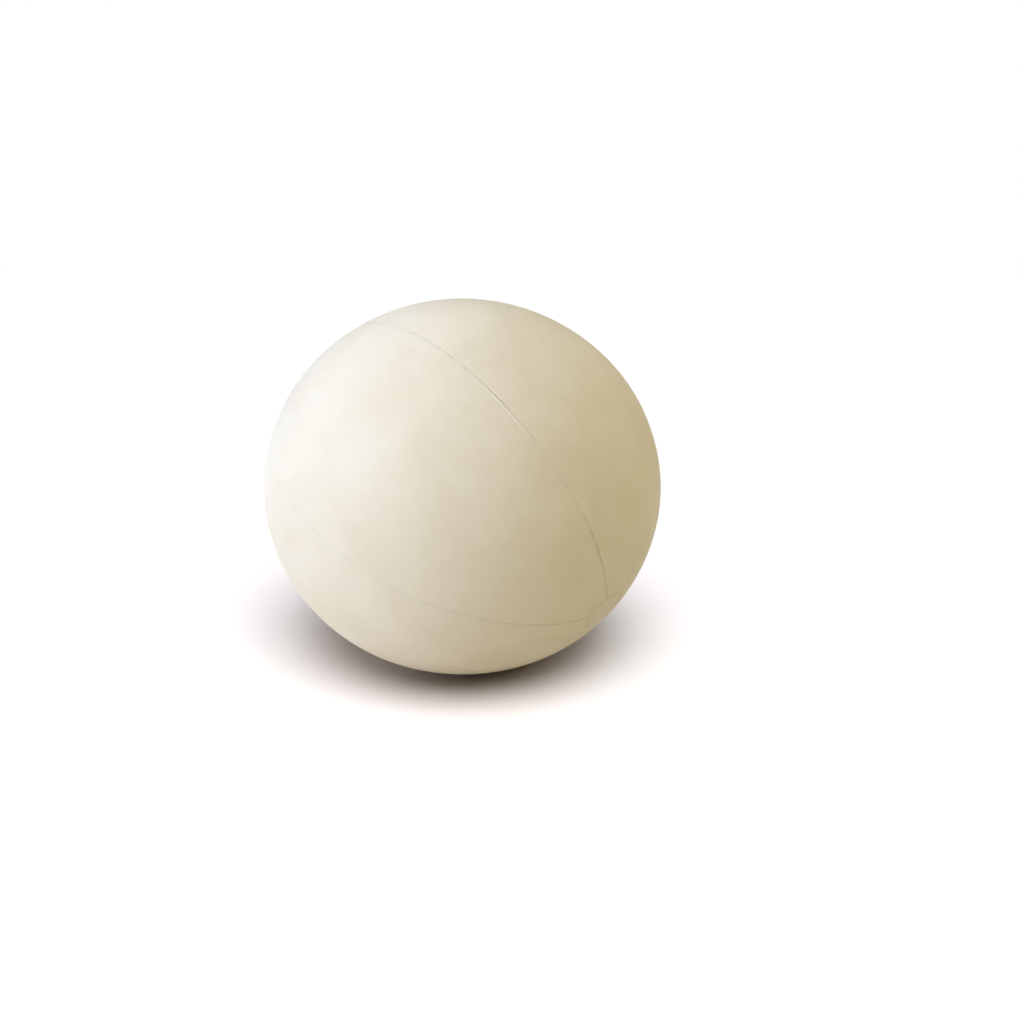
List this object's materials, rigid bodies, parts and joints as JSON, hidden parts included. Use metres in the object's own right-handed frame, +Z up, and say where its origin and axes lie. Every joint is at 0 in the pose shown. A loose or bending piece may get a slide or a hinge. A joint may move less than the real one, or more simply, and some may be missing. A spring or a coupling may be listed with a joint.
{
  "type": "dryer ball",
  "caption": "Smooth hollow rubber dryer ball, slightly squashed, whose curved panels meet in hairline raised seams that run to a small round disc at each pole.",
  "frame": {"origin": "middle of the small rest flat under the ball", "axes": "+Z up, out of the floor; -Y towards the side from which the front pole disc shows low on the right; +X to the right as seen from that side"},
  "size_m": [0.075, 0.075, 0.0707],
  "materials": {
    "gore_rubber": "smooth satin cream rubber with faint mottling",
    "seam_cement": "cured rubber cement, slightly glossier and darker than the skin",
    "disc_rubber": "smooth satin cream rubber, slightly soiled",
    "tape_rubber": "matte raw rubber",
    "plug_rubber": "matte soft gum rubber"
  },
  "bodies": {
    "root": {"gore_1": "gore_rubber", "gore_2": "gore_rubber", "gore_3": "gore_rubber", "gore_4": "gore_rubber", "gore_5": "gore_rubber", "gore_6": "gore_rubber", "seam_bead_1": "seam_cement", "seam_bead_2": "seam_cement", "seam_bead_3": "seam_cement", "seam_bead_4": "seam_cement", "seam_bead_5": "seam_cement", "seam_bead_6": "seam_cement", "seam_tape_1": "tape_rubber", "seam_tape_2": "tape_rubber", "seam_tape_3": "tape_rubber", "seam_tape_4": "tape_rubber", "seam_tape_5": "tape_rubber", "seam_tape_6": "tape_rubber", "pole_disc_front": "disc_rubber", "pole_disc_back": "disc_rubber", "pole_patch_front": "tape_rubber", "pole_patch_back": "tape_rubber", "filling_plug": "plug_rubber"}
  },
  "joints": []
}
